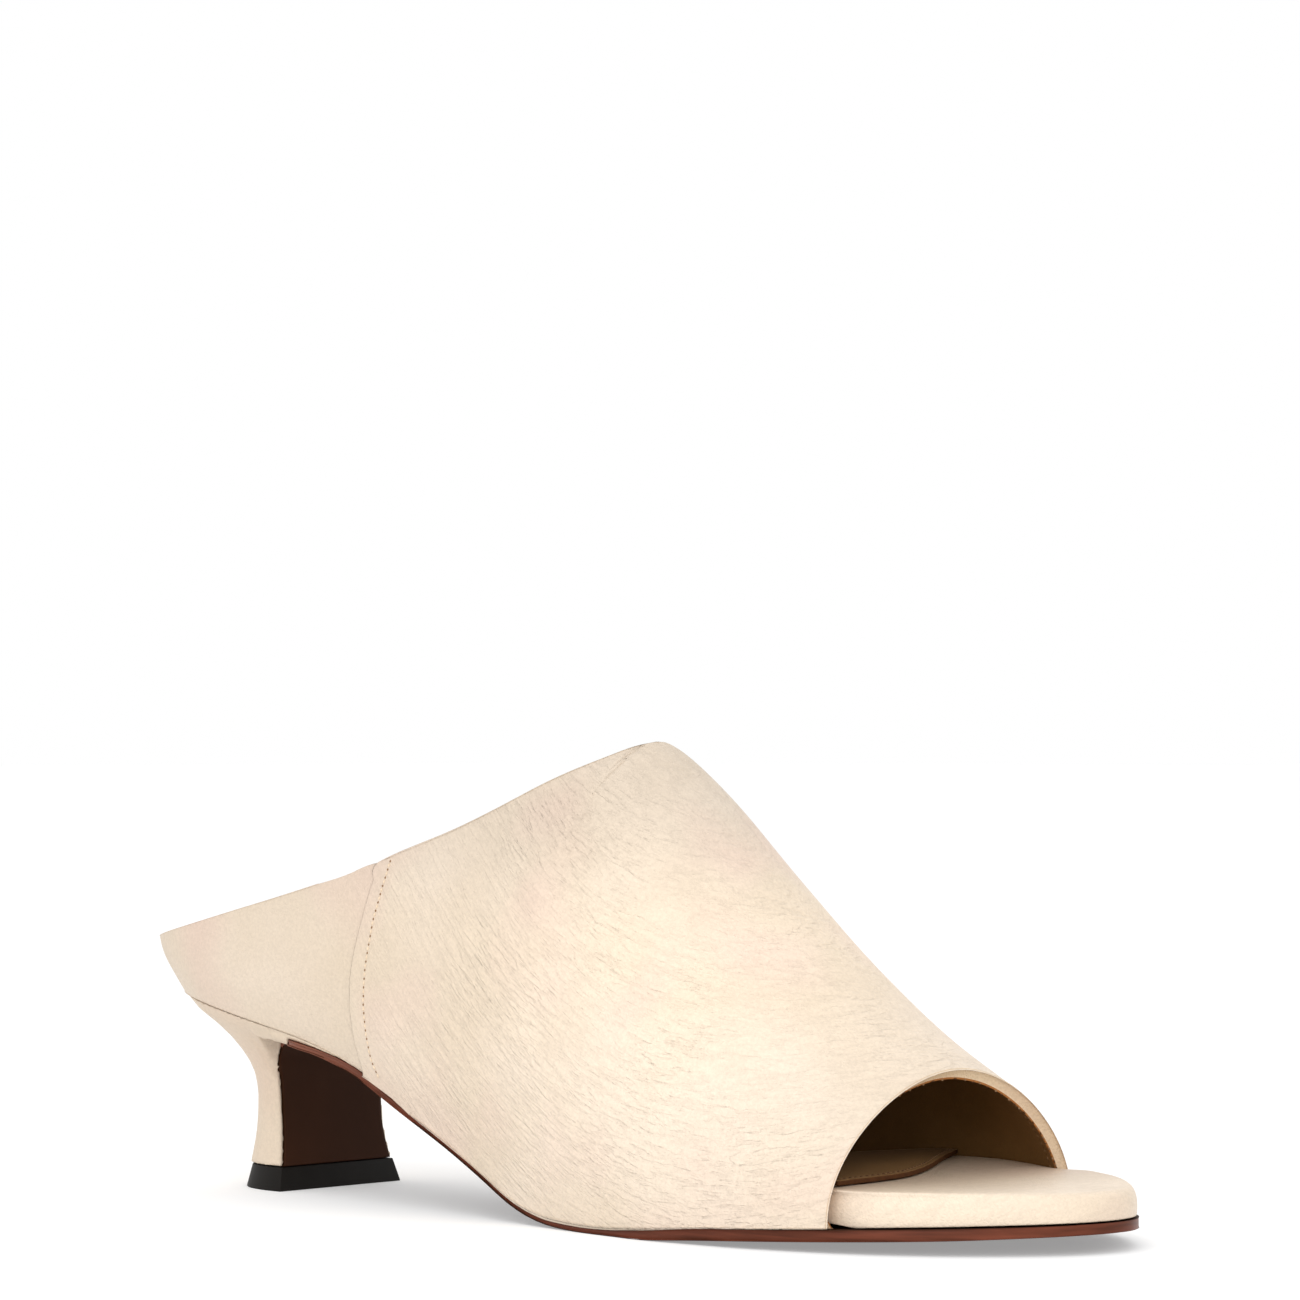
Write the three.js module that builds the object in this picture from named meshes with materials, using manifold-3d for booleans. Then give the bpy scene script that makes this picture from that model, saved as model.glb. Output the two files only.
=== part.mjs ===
// Open-toe mule sandal for a right foot, on a curved kitten heel covered in the leather of the upper.
// Units are millimetres. +X runs to the toe, +Y to the inner (medial) side of the foot, +Z up.
// Shapes are worked out from the back of the sole at x = 0, and the whole shoe is centred at the end.
import * as THREE from 'three';
import Module from 'manifold-3d';

const wasm = await Module();
wasm.setup();

// Last and sole sizes
const soleLength = 243;
const ballWidth = 76;
const toeSwing = 7; // how far the toe's middle lies towards the big-toe side
const swingStart = 0.45; // where the middle line starts to swing, as a share of the length
const seatHeight = 41.5; // feather line above the floor at the back of the heel seat
const toeSpring = 4.2; // rise of the sole from the ball to the tip
const clearance = 0.3; // between pieces that are glued or pressed together
const outsoleThickness = 2.3;
const footbedThickness = 7.2; // at the toe opening
const sockThickness = 1;

// Upper sizes
const wall = 1.9;
const vampLap = 0.5; // step where the vamp lies over the quarter
const instepHeight = 94.4; // top of the collar above the floor
const instepX = 127; // where that top lies along the shoe
const instepY = 3;
const toeArchHeight = 32.4; // top of the toe opening above the floor
const toeOpeningX = 203; // lateral foot of the toe opening
const toeOpeningSlant = 2.2; // how far its medial foot lies ahead of the lateral one
const toeArchY = 5.5; // middle of its arch
const toeArchAhead = 0.5; // how far the top of the arch lies ahead of the lateral foot
const rimOverhang = 6; // how far the collar's back edge reaches behind the sole
const rimHeight = 51.2; // collar's back edge above the floor
const peakFootX = 131; // foot of the section that ends at the top of the collar

// Heel sizes
const liftThickness = 4.9;
const liftWidth = 35.3;
const liftDepth = 20;
const liftFlare = 1.4; // how far the lift's bottom stands out past its top
const liftFrontX = 38.6;
const liftFrontFlare = 0.7; // flare of its straight front, as a share of the flare at the back
const heelFrontX = 37.5; // breast of the heel just above the lift
const heelRoundness = 2.4; // power of the heel's rounded outline, 2 for a half ellipse
const heelWidth = 32.6;
const heelDepth = 18;
const breastProud = 0.4; // the leather on the breast stands this far in front of the heel cover
const breastMargin = 1.3; // heel cover seen on each side of the breast leather
const breastLeather = 1.4;
const breastTurn = 7; // run of the bend from the breast into the waist of the outsole
const breastTurnShare = 0.68; // where that bend starts, as a share of the heel's height
const breastSpread = 14; // run over which the outsole widens from the breast to the sole's plan
const heelLipEndX = 67; // front tip of the heel's lip under the feather line
const heelLipRun = 19; // from that tip back to where the lip is as thick as stated
const heelLipThickness = 1.3;
const heelLipDepth = 3.4; // lip's side at the breast, before the outsole is let in
const heelLipTuck = 2.2; // how far the lower edge of that side lies inside the upper one

// Footbed sizes
const toeMargin = 0.3; // footbed edge behind the outsole edge at the toe
const shoulder = 2; // width of the footbed's rounded top edge
const footbedSlack = 0.6; // room for the lean of the upper's wall beside the footbed
const openingRun = 6; // run over which the footbed widens ahead of the toe opening

// Plan of the last: half widths on each side of the middle line, as shares of the ball width
const planRows = [
  { at: 0, lateral: 0, medial: 0 },
  { at: 0.01, lateral: 0.125, medial: 0.125 },
  { at: 0.03, lateral: 0.21, medial: 0.21 },
  { at: 0.06, lateral: 0.276, medial: 0.276 },
  { at: 0.12, lateral: 0.336, medial: 0.336 },
  { at: 0.2, lateral: 0.355, medial: 0.342 },
  { at: 0.3, lateral: 0.362, medial: 0.296 },
  { at: 0.4, lateral: 0.375, medial: 0.243 },
  { at: 0.5, lateral: 0.414, medial: 0.25 },
  { at: 0.6, lateral: 0.474, medial: 0.349 },
  { at: 0.68, lateral: 0.507, medial: 0.447 },
  { at: 0.74, lateral: 0.507, medial: 0.48 },
  { at: 0.8, lateral: 0.487, medial: 0.474 },
  { at: 0.86, lateral: 0.441, medial: 0.428 },
  { at: 0.92, lateral: 0.349, medial: 0.336 },
  { at: 0.96, lateral: 0.247, medial: 0.229 },
  { at: 0.985, lateral: 0.155, medial: 0.137 },
  { at: 1, lateral: 0, medial: 0 },
];

// Side view of the feather line: seat is a share of the seat height, spring of the toe spring,
// and sole is the outsole's thickness there as a share of its full thickness
const featherRows = [
  { at: 0, seat: 1, spring: 0, sole: 0.4 },
  { at: 0.09, seat: 0.946, spring: 0, sole: 0.4 },
  { at: 0.14, seat: 0.899, spring: 0, sole: 0.4 },
  { at: 0.2, seat: 0.836, spring: 0, sole: 0.4 },
  { at: 0.24, seat: 0.785, spring: 0, sole: 0.45 },
  { at: 0.29, seat: 0.69, spring: 0, sole: 0.6 },
  { at: 0.34, seat: 0.545, spring: 0, sole: 0.55 },
  { at: 0.42, seat: 0.325, spring: 0, sole: 0.5 },
  { at: 0.47, seat: 0.185, spring: 0, sole: 0.5 },
  { at: 0.5, seat: 0.105, spring: 0, sole: 0.55 },
  { at: 0.54, seat: 0.055, spring: 0, sole: 0.6 },
  { at: 0.575, seat: 0.043, spring: 0, sole: 0.62 },
  { at: 0.61, seat: 0.038, spring: 0.03, sole: 0.7 },
  { at: 0.65, seat: 0.038, spring: 0.15, sole: 0.9 },
  { at: 0.72, seat: 0.038, spring: 0.44, sole: 1 },
  { at: 0.8, seat: 0.038, spring: 0.66, sole: 1 },
  { at: 0.9, seat: 0.038, spring: 0.9, sole: 1 },
  { at: 1, seat: 0.038, spring: 1.1, sole: 0.85 },
];

// Collar seen from above and from the side, from its back edge to the instep: half widths as shares
// of the ball width, height as a share of the way from the rim's height to the instep's
const collarRows = [
  { at: 0, lateral: 0, medial: 0, height: 0 },
  { at: 0.03, lateral: 0.18, medial: 0.18, height: 0.012 },
  { at: 0.09, lateral: 0.278, medial: 0.278, height: 0.042 },
  { at: 0.18, lateral: 0.332, medial: 0.332, height: 0.095 },
  { at: 0.3, lateral: 0.357, medial: 0.357, height: 0.177 },
  { at: 0.46, lateral: 0.368, medial: 0.37, height: 0.292 },
  { at: 0.63, lateral: 0.349, medial: 0.368, height: 0.44 },
  { at: 0.81, lateral: 0.283, medial: 0.322, height: 0.655 },
  { at: 0.92, lateral: 0.197, medial: 0.24, height: 0.838 },
  { at: 0.975, lateral: 0.105, medial: 0.145, height: 0.935 },
  { at: 1, lateral: -0.039, medial: 0.039, height: 1 },
];

// Sections of the upper, from the middle of the back (0) past the instep (1) to the toe opening (2).
// foot is where the section meets the sole, as a share of the run to the instep's section.
// footLean and topLean are angles from straight outward at its foot and top, in degrees,
// rise is how far the foot's direction holds as a share of the height,
// crown is how far the top's direction holds as a share of the ball width.
const sectionRows = [
  { at: 0, foot: 0, footLean: 46, topLean: 97, rise: 0.4, crown: 0.05, medialLean: 46, bow: 0 },
  { at: 0.1, foot: 0.017, footLean: 50, topLean: 97, rise: 0.4, crown: 0.055, medialLean: 50, bow: 0 },
  { at: 0.2, foot: 0.069, footLean: 60, topLean: 96, rise: 0.4, crown: 0.065, medialLean: 60, bow: 0 },
  { at: 0.3, foot: 0.172, footLean: 68, topLean: 95, rise: 0.4, crown: 0.08, medialLean: 68, bow: 0 },
  { at: 0.5, foot: 0.45, footLean: 73, topLean: 88, rise: 0.39, crown: 0.19, medialLean: 60, bow: 0.5 },
  { at: 0.6, foot: 0.6, footLean: 74, topLean: 81, rise: 0.385, crown: 0.24, medialLean: 54, bow: 1 },
  { at: 0.7, foot: 0.745, footLean: 76, topLean: 71, rise: 0.385, crown: 0.277, medialLean: 51, bow: 0.5 },
  { at: 0.8, foot: 0.86, footLean: 78, topLean: 57, rise: 0.397, crown: 0.29, medialLean: 52, bow: 0.15 },
  { at: 0.9, foot: 0.94, footLean: 79, topLean: 36, rise: 0.437, crown: 0.283, medialLean: 54.5, bow: 0 },
  { at: 0.95, foot: 0.971, footLean: 79.5, topLean: 20, rise: 0.46, crown: 0.25, medialLean: 57, bow: 0 },
  { at: 1, foot: 1, footLean: 80, topLean: 0, rise: 0.492, crown: 0.25, medialLean: 59, bow: 0 },
  { at: 1.1, foot: 1, footLean: 80.5, topLean: 0, rise: 0.5, crown: 0.257, medialLean: 62.5, bow: 0 },
  { at: 1.3, foot: 1, footLean: 82, topLean: 0, rise: 0.52, crown: 0.27, medialLean: 70, bow: 0 },
  { at: 1.65, foot: 1, footLean: 86, topLean: 0, rise: 0.5, crown: 0.26, medialLean: 82, bow: 0 },
  { at: 2, foot: 1, footLean: 88, topLean: 0, rise: 0.5, crown: 0.225, medialLean: 88, bow: 0 },
];
const seamSection = 0.585; // section of the lap seam
const seamBow = 3; // how far the seam bows to the heel at half height

// Ridge of the vamp from the instep (0) to the toe opening (1), as a share of its fall
const ridgeRows = [
  { at: 0, fall: 0 },
  { at: 0.1, fall: 0.09 },
  { at: 0.3, fall: 0.33 },
  { at: 0.55, fall: 0.615 },
  { at: 0.8, fall: 0.855 },
  { at: 1, fall: 1 },
];

// Covered heel from the lift (0) to the seat (1): widths and depths as shares of those above the lift,
// hollow is how far the breast lies behind its foot as a share of the depth,
// and seat is how far the section has turned into the plan of the sole
const heelRows = [
  { at: 0, width: 1, depth: 1, hollow: 0, seat: 0 },
  { at: 0.15, width: 0.945, depth: 0.89, hollow: 0.045, seat: 0 },
  { at: 0.28, width: 0.92, depth: 0.83, hollow: 0.07, seat: 0 },
  { at: 0.42, width: 0.92, depth: 0.8, hollow: 0.083, seat: 0 },
  { at: 0.54, width: 0.945, depth: 0.82, hollow: 0.078, seat: 0.01 },
  { at: 0.65, width: 1, depth: 0.9, hollow: 0.06, seat: 0.05 },
  { at: 0.75, width: 1.08, depth: 1.02, hollow: 0.03, seat: 0.16 },
  { at: 0.84, width: 1.19, depth: 1.2, hollow: 0, seat: 0.3 },
  { at: 0.92, width: 1.33, depth: 1.45, hollow: 0, seat: 0.57 },
  { at: 1, width: 1.5, depth: 1.8, hollow: 0, seat: 1 },
];

// Thickness of the footbed along the sole, as a share of its thickness at the toe opening
const footbedRows = [
  { at: 0, thickness: 0.6 },
  { at: 0.25, thickness: 0.65 },
  { at: 0.45, thickness: 1 },
  { at: 0.6, thickness: 1.25 },
  { at: 0.7, thickness: 1.3 },
  { at: 0.77, thickness: 1.22 },
  { at: 0.84, thickness: 1 },
  { at: 0.9, thickness: 0.92 },
  { at: 1, thickness: 0.76 },
];

// Front edge of the sock lining, from the lateral (0) to the medial (1) side, as shares of the
// distance from the heel to the foot of the toe opening
const sockFrontRows = [
  { at: 0, reach: 0.995 },
  { at: 0.3, reach: 0.99 },
  { at: 0.55, reach: 0.965 },
  { at: 0.75, reach: 0.93 },
  { at: 1, reach: 0.885 },
];

// Smooth curve through one column of a table, without overshoot between rows
function curve(rows, name, warp = (share) => share) {
  const x = rows.map((row) => warp(row.at));
  const y = rows.map((row) => row[name]);
  const last = x.length - 1;
  const step = [];
  for (let i = 0; i < last; i += 1) {
    step.push((y[i + 1] - y[i]) / (x[i + 1] - x[i]));
  }
  const slope = y.map((value, i) => {
    if (i === 0) return step[0];
    if (i === last) return step[last - 1];
    if (step[i - 1] * step[i] <= 0) return 0;
    return (2 * step[i - 1] * step[i]) / (step[i - 1] + step[i]);
  });
  return (share) => {
    const at = Math.min(Math.max(warp(share), x[0]), x[last]);
    let i = 0;
    while (i < last - 1 && at > x[i + 1]) i += 1;
    const width = x[i + 1] - x[i];
    const t = (at - x[i]) / width;
    const rise = y[i + 1] - y[i];
    const bend = width * slope[i] - rise;
    const back = rise - width * slope[i + 1];
    return y[i] + rise * t + t * (1 - t) * (bend * (1 - t) + back * t);
  };
}

// Turns a share of a length into a share of a half turn, so that both ends of a plan come out round
function roundEnds(share) {
  return Math.acos(1 - 2 * Math.min(Math.max(share, 0), 1)) / Math.PI;
}

const mix = (a, b, t) => a + (b - a) * t;
const span = (count) => Array.from({ length: count + 1 }, (_, i) => i / count);
const roundSpan = (count) => span(count).map((t) => (1 - Math.cos(Math.PI * t)) / 2);

const planWidth = {
  lateral: curve(planRows, 'lateral', roundEnds),
  medial: curve(planRows, 'medial', roundEnds),
};
const seatCurve = curve(featherRows, 'seat');
const springCurve = curve(featherRows, 'spring');
const soleCurve = curve(featherRows, 'sole');
const footbedCurve = curve(footbedRows, 'thickness');

// Middle line of the sole, which swings to the big toe ahead of the waist
function middleY(x) {
  const ahead = Math.max(x / soleLength - swingStart, 0) / (1 - swingStart);
  return toeSwing * ahead ** 1.5;
}

// Edge of the sole's plan. side is -1 for lateral and 1 for medial
function edgeY(x, side) {
  const width = side < 0 ? planWidth.lateral : planWidth.medial;
  return middleY(x) + side * ballWidth * width(x / soleLength);
}

// Feather line, where upper and sole meet
function featherZ(x) {
  const share = x / soleLength;
  return seatHeight * seatCurve(share) + toeSpring * springCurve(share);
}

// Outward direction of the plan at its edge
function outward(x, side) {
  const step = 0.4;
  const from = Math.max(x - step, 0);
  const to = Math.min(x + step, soleLength);
  const along = new THREE.Vector2(to - from, edgeY(to, side) - edgeY(from, side)).normalize();
  return new THREE.Vector2(-side * along.y, side * along.x);
}

const cornersPerMillimetre = 5000; // corners nearer than one of these steps are one corner

// Closed triangle mesh with shared corners; triangles with two equal corners are dropped
class Shell {
  constructor() {
    this.points = [];
    this.triangles = [];
    this.known = new Map();
  }

  corner(point) {
    const key = [point.x, point.y, point.z].map((value) => Math.round(value * cornersPerMillimetre)).join();
    if (!this.known.has(key)) {
      this.known.set(key, this.points.length);
      this.points.push(point);
    }
    return this.known.get(key);
  }

  triangle(a, b, c) {
    const [i, j, k] = [a, b, c].map((point) => this.corner(point));
    if (i !== j && j !== k && k !== i) this.triangles.push(i, j, k);
  }

  quad(a, b, c, d) {
    this.triangle(a, b, c);
    this.triangle(a, c, d);
  }

  // Strip of quads between two rows of points
  strip(low, high) {
    for (let j = 0; j + 1 < low.length; j += 1) {
      this.quad(low[j], low[j + 1], high[j + 1], high[j]);
    }
  }

  geometry() {
    const geometry = new THREE.BufferGeometry();
    const flat = this.points.flatMap((point) => [point.x, point.y, point.z]);
    geometry.setAttribute('position', new THREE.Float32BufferAttribute(flat, 3));
    geometry.setIndex(this.triangles);
    geometry.computeVertexNormals();
    return geometry;
  }

  manifold() {
    const vertProperties = new Float32Array(this.points.flatMap((point) => [point.x, point.y, point.z]));
    const triVerts = new Uint32Array(this.triangles);
    return new wasm.Manifold(new wasm.Mesh({ numProp: 3, vertProperties, triVerts }));
  }
}

// Sheet with thickness: under and over are grids of rows that run from the lateral to the medial side,
// one row after another towards the toe
function slab(under, over) {
  const shell = new Shell();
  const last = under.length - 1;
  const side = under[0].length - 1;
  for (let i = 0; i < last; i += 1) {
    shell.strip(under[i], under[i + 1]);
    shell.strip(over[i + 1], over[i]);
    shell.quad(under[i][0], under[i + 1][0], over[i + 1][0], over[i][0]);
    shell.quad(under[i + 1][side], under[i][side], over[i][side], over[i + 1][side]);
  }
  const isTip = (row) => row[0].distanceTo(row[side]) < 1e-6;
  if (!isTip(under[0])) shell.strip(over[0], under[0]);
  if (!isTip(under[last])) shell.strip(under[last], over[last]);
  return shell;
}

// Turns a shell inside out
function reversed(shell) {
  const flipped = shell.triangles;
  for (let i = 0; i < flipped.length; i += 3) {
    [flipped[i + 1], flipped[i + 2]] = [flipped[i + 2], flipped[i + 1]];
  }
  return shell;
}

// Solid from closed rings, each seen counterclockwise from above, stacked upward
function stack(rings) {
  const shell = new Shell();
  for (let k = 0; k + 1 < rings.length; k += 1) {
    shell.strip([...rings[k], rings[k][0]], [...rings[k + 1], rings[k + 1][0]]);
  }
  const cap = (ring, up) => {
    const middle = new THREE.Vector3();
    ring.forEach((point) => middle.addScaledVector(point, 1 / ring.length));
    ring.forEach((point, i) => {
      const next = ring[(i + 1) % ring.length];
      if (up) shell.triangle(middle, point, next);
      else shell.triangle(middle, next, point);
    });
  };
  cap(rings[0], false);
  cap(rings[rings.length - 1], true);
  return shell;
}

function geometryOf(manifold) {
  const mesh = manifold.getMesh();
  const geometry = new THREE.BufferGeometry();
  geometry.setAttribute('position', new THREE.Float32BufferAttribute(mesh.vertProperties, 3));
  geometry.setIndex(Array.from(mesh.triVerts));
  geometry.computeVertexNormals();
  return geometry;
}

const collarCurve = {
  lateral: curve(collarRows, 'lateral', roundEnds),
  medial: curve(collarRows, 'medial', roundEnds),
  height: curve(collarRows, 'height'),
};
const sectionCurve = {};
for (const name of ['foot', 'footLean', 'topLean', 'rise', 'crown', 'medialLean', 'bow']) {
  sectionCurve[name] = curve(sectionRows, name);
}
const ridgeCurve = curve(ridgeRows, 'fall');

// Foot of a section of the upper, along the shoe
function sectionFootX(section, side) {
  if (section <= 1) return peakFootX * sectionCurve.foot(section);
  const front = side < 0 ? toeOpeningX : toeOpeningX + toeOpeningSlant;
  return mix(peakFootX, front, section - 1);
}

// Top of a section: on the collar behind the instep, on the vamp's ridge ahead of it
function sectionTop(section, side) {
  if (section <= 1) {
    const share = (1 - Math.cos(Math.PI * section)) / 2;
    const width = side < 0 ? collarCurve.lateral : collarCurve.medial;
    const x = mix(-rimOverhang, instepX, share);
    const y = section === 1 ? instepY : side * ballWidth * width(share);
    return new THREE.Vector3(x, y, mix(rimHeight, instepHeight, collarCurve.height(share)));
  }
  const x = mix(instepX, toeOpeningX + toeArchAhead, section - 1);
  const y = mix(instepY, toeArchY, section - 1);
  return new THREE.Vector3(x, y, mix(instepHeight, toeArchHeight, ridgeCurve(section - 1)));
}

// Curve of one section from the sole (0) to its top (1), outside of the upper
function sectionCurveOf(section, side) {
  const x = sectionFootX(section, side);
  const foot = new THREE.Vector3(x, edgeY(x, side), featherZ(x));
  const top = sectionTop(section, side);
  const plan = section < 0.35 ? outward(x, side) : new THREE.Vector2(0, side);
  const out = new THREE.Vector3(plan.x, plan.y, 0);
  const lean = side < 0 ? sectionCurve.footLean(section) : sectionCurve.medialLean(section);
  const footLean = THREE.MathUtils.degToRad(lean);
  const topLean = THREE.MathUtils.degToRad(sectionCurve.topLean(section));
  const rise = sectionCurve.rise(section) * (top.z - foot.z);
  const crown = sectionCurve.crown(section) * ballWidth;
  const low = foot.clone().addScaledVector(out, rise / Math.tan(footLean));
  low.z += rise;
  const high = top.clone().addScaledVector(out, crown * Math.cos(topLean));
  high.z -= crown * Math.sin(topLean);
  return new THREE.CubicBezierCurve3(foot, low, high, top);
}

// Rows of the outside of the upper. Each row runs from the sole to the top of its section, and the
// rows run from the lateral side of the toe opening round the heel to the medial side of it
const heights = span(14);
const collarSections = span(20).slice(0, -1).filter((section) => Math.abs(section - seamSection) > 0.02);
const vampSections = span(14).map((share) => 1 + share);
const sideSections = [...collarSections, seamSection, ...vampSections].sort((a, b) => a - b);
const seamRow = sideSections.indexOf(seamSection);
const instepRow = sideSections.indexOf(1);

function upperRow(section, side) {
  const bezier = sectionCurveOf(section, side);
  const bow = seamBow * sectionCurve.bow(section);
  return heights.map((height) => {
    const point = bezier.getPoint(height);
    point.x -= bow * Math.sin(Math.PI * height);
    return point;
  });
}

function upperShape() {
  const lateral = sideSections.map((section) => upperRow(section, -1));
  const medial = sideSections.map((section) => upperRow(section, 1));
  const rows = [...lateral.slice(1).reverse(), ...medial];
  const middle = lateral.length - 1; // the row down the middle of the back
  const lastRow = rows.length - 1;
  const top = heights.length - 1;
  const isVamp = (i) => Math.abs(i - middle) >= instepRow;

  // Direction of the outside at each point, across the ridge where both sides meet there
  const facing = rows.map((row, i) => row.map((point, j) => {
    const before = rows[Math.max(i - 1, 0)][j];
    const after = rows[Math.min(i + 1, lastRow)][j];
    const joined = j === top && isVamp(i);
    const over = joined ? rows[lastRow - i][top - 1] : row[Math.min(j + 1, top)];
    const under = row[Math.max(j - 1, 0)];
    const along = after.clone().sub(before);
    if (joined) along.setY(0);
    return along.cross(under.clone().sub(over)).normalize();
  }));
  const moved = (i, depth) => rows[i].map((point, j) => point.clone().addScaledVector(facing[i][j], depth));

  const outer = [];
  const inner = [];
  const kind = [];
  rows.forEach((row, i) => {
    const from = Math.abs(i - middle);
    const quarter = moved(i, 0);
    const vamp = moved(i, vampLap);
    const inside = moved(i, -wall);
    if (from === seamRow) {
      const pair = i < middle ? [vamp, quarter] : [quarter, vamp];
      outer.push(...pair);
      inner.push(inside, inside);
      kind.push(i, i);
    } else {
      outer.push(from > seamRow ? vamp : quarter);
      inner.push(inside);
      kind.push(i);
    }
  });

  const shell = new Shell();
  const last = outer.length - 1;
  const footStrip = (i) => shell.quad(outer[i + 1][0], outer[i][0], inner[i][0], inner[i + 1][0]);
  const collarStrip = (i) => shell.quad(outer[i][top], outer[i + 1][top], inner[i + 1][top], inner[i][top]);
  for (let i = 0; i < last; i += 1) {
    shell.strip(outer[i + 1], outer[i]);
    shell.strip(inner[i], inner[i + 1]);
    footStrip(i);
    if (!isVamp(kind[i]) || !isVamp(kind[i + 1])) collarStrip(i);
  }
  shell.strip(outer[0], inner[0]);
  shell.strip(inner[last], outer[last]);
  return reversed(shell);
}

// Outsole: a leather sheet under the foot, whose narrow tail turns down the breast of the heel
const lipCurve = (x) => heelLipThickness * Math.max(0, (heelLipEndX - x) / heelLipRun) ** 1.2;
const heelCurve = {};
for (const name of ['width', 'depth', 'hollow', 'seat']) {
  heelCurve[name] = curve(heelRows, name);
}
const heelTopZ = (x) => featherZ(x) - clearance;

// Breast of the heel, share up from the lift
function breastX(share) {
  return heelFrontX - heelDepth * heelCurve.hollow(share);
}

function soleUnderZ(x) {
  const lip = x < heelLipEndX ? lipCurve(x) + clearance : 0;
  const thick = outsoleThickness * soleCurve(x / soleLength);
  return Math.max(featherZ(x) - clearance - lip - thick, 0);
}

// How much closer the outsole's rows lie at the tip of the toe, where its outline turns
const tipCrowding = 0.93;

// Side view of the outsole's underside, from the lift up the breast and on to the toe tip
function outsolePath() {
  const turnX = heelFrontX + breastTurn;
  const heelHeight = heelTopZ(heelFrontX) - liftThickness;
  const shareZ = (share) => liftThickness + clearance + share * (heelHeight - clearance);
  const path = span(8).map((t) => {
    const share = t * breastTurnShare;
    return new THREE.Vector2(breastX(share), shareZ(share));
  });
  const low = path[path.length - 1];
  const high = new THREE.Vector2(turnX, soleUnderZ(turnX));
  const rise = (high.y - soleUnderZ(turnX + 1)) * (high.x - low.x);
  const corner = new THREE.Vector2(low.x, high.y + rise);
  const turn = new THREE.QuadraticBezierCurve(low, corner, high);
  path.push(...turn.getPoints(8).slice(1));
  const frontRows = span(44).slice(1).map((t) => mix(t, Math.sin(Math.PI * t / 2), tipCrowding));
  frontRows.forEach((share) => {
    const x = mix(turnX, soleLength, share);
    path.push(new THREE.Vector2(x, soleUnderZ(x)));
  });
  return path;
}

// Half width of the outsole: the breast leather's at the tail, the whole plan ahead of the heel
function outsoleEdgeY(x, z, side) {
  const share = (z - liftThickness) / (heelTopZ(heelFrontX) - liftThickness);
  const tail = side * (heelWidth / 2 * heelCurve.width(Math.min(share, breastTurnShare)) - breastMargin);
  const spread = THREE.MathUtils.smoothstep(x, heelFrontX, heelFrontX + breastSpread);
  return mix(tail, edgeY(x, side), spread);
}

// Outsole, grown on all sides by the amount grow
function outsoleShape(grow) {
  const path = outsolePath();
  const across = span(6);
  const turnEndX = heelFrontX + breastTurn;
  const under = [];
  const over = [];
  path.forEach((point, i) => {
    const before = path[Math.max(i - 1, 0)];
    const after = path[Math.min(i + 1, path.length - 1)];
    const along = after.clone().sub(before).normalize();
    const isSole = point.x > heelLipEndX;
    const normal = isSole ? new THREE.Vector2(0, 1) : new THREE.Vector2(-along.y, along.x);
    const blend = THREE.MathUtils.smoothstep(point.x, heelFrontX, turnEndX + breastSpread);
    const lip = point.x < heelLipEndX ? lipCurve(point.x) + clearance : 0;
    const sole = featherZ(point.x) - clearance - lip - point.y;
    const thick = point.x < turnEndX ? breastLeather : mix(breastLeather, sole, blend);
    const low = point.clone().addScaledVector(normal, -grow);
    const high = point.clone().addScaledVector(normal, thick + grow);
    const edges = [-1, 1].map((side) => outsoleEdgeY(point.x, point.y, side) + side * grow);
    under.push(across.map((t) => new THREE.Vector3(low.x, mix(edges[0], edges[1], t), low.y)));
    over.push(across.map((t) => new THREE.Vector3(high.x, mix(edges[0], edges[1], t), high.y)));
  });
  return slab(under, over);
}

// D-shaped ring: round at the back, straight across the front
function heelRing(width, depth, frontX, z, count) {
  const power = 2 / heelRoundness;
  return span(count).map((t) => {
    const angle = Math.PI * (t - 0.5);
    const x = frontX - depth * Math.cos(angle) ** power;
    const y = (width / 2) * Math.sign(Math.sin(angle)) * Math.abs(Math.sin(angle)) ** power;
    return new THREE.Vector3(x, -y, z);
  });
}

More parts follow.
